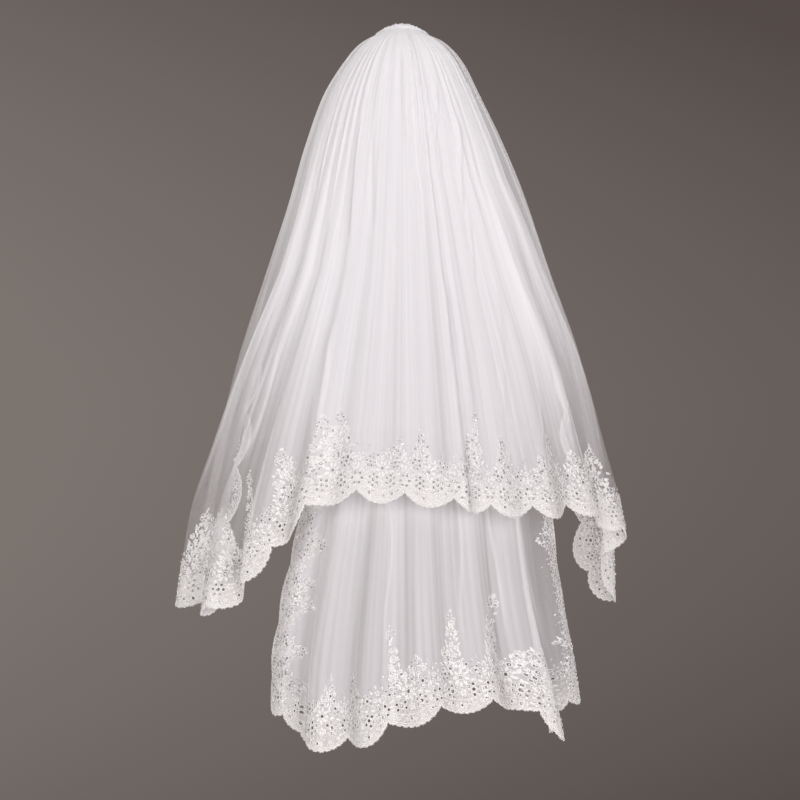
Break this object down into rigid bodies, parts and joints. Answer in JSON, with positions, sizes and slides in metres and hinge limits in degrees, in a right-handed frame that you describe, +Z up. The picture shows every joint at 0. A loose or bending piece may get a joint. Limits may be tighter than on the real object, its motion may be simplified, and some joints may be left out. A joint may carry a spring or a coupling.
{
  "type": "bridal veil",
  "caption": "Tiered bridal veil of soft net edged with scalloped beaded floral lace, gathered onto a hair comb and kept in its hollow, worn, hanging form.",
  "frame": {"origin": "middle of the comb's bar, where the hair on the crown of the head holds the veil", "axes": "+Z up, +Y the way the wearer faces, -Y the back of the veil, +X to the wearer's right"},
  "size_m": [0.7134, 0.3612, 1.134],
  "materials": {
    "net": "fine soft white net, see-through, with a slight sheen",
    "lace": "white embroidered lace with raised cords, pearls and sequins",
    "heading": "white net, tightly gathered and sewn",
    "comb": "clear moulded plastic"
  },
  "bodies": {
    "root": {"upper_net": "net", "lower_net": "net", "upper_lace_left": "lace", "upper_lace_hem": "lace", "upper_lace_right": "lace", "lower_lace_left": "lace", "lower_lace_hem": "lace", "lower_lace_right": "lace", "gathered_heading": "heading", "comb": "comb"}
  },
  "joints": []
}
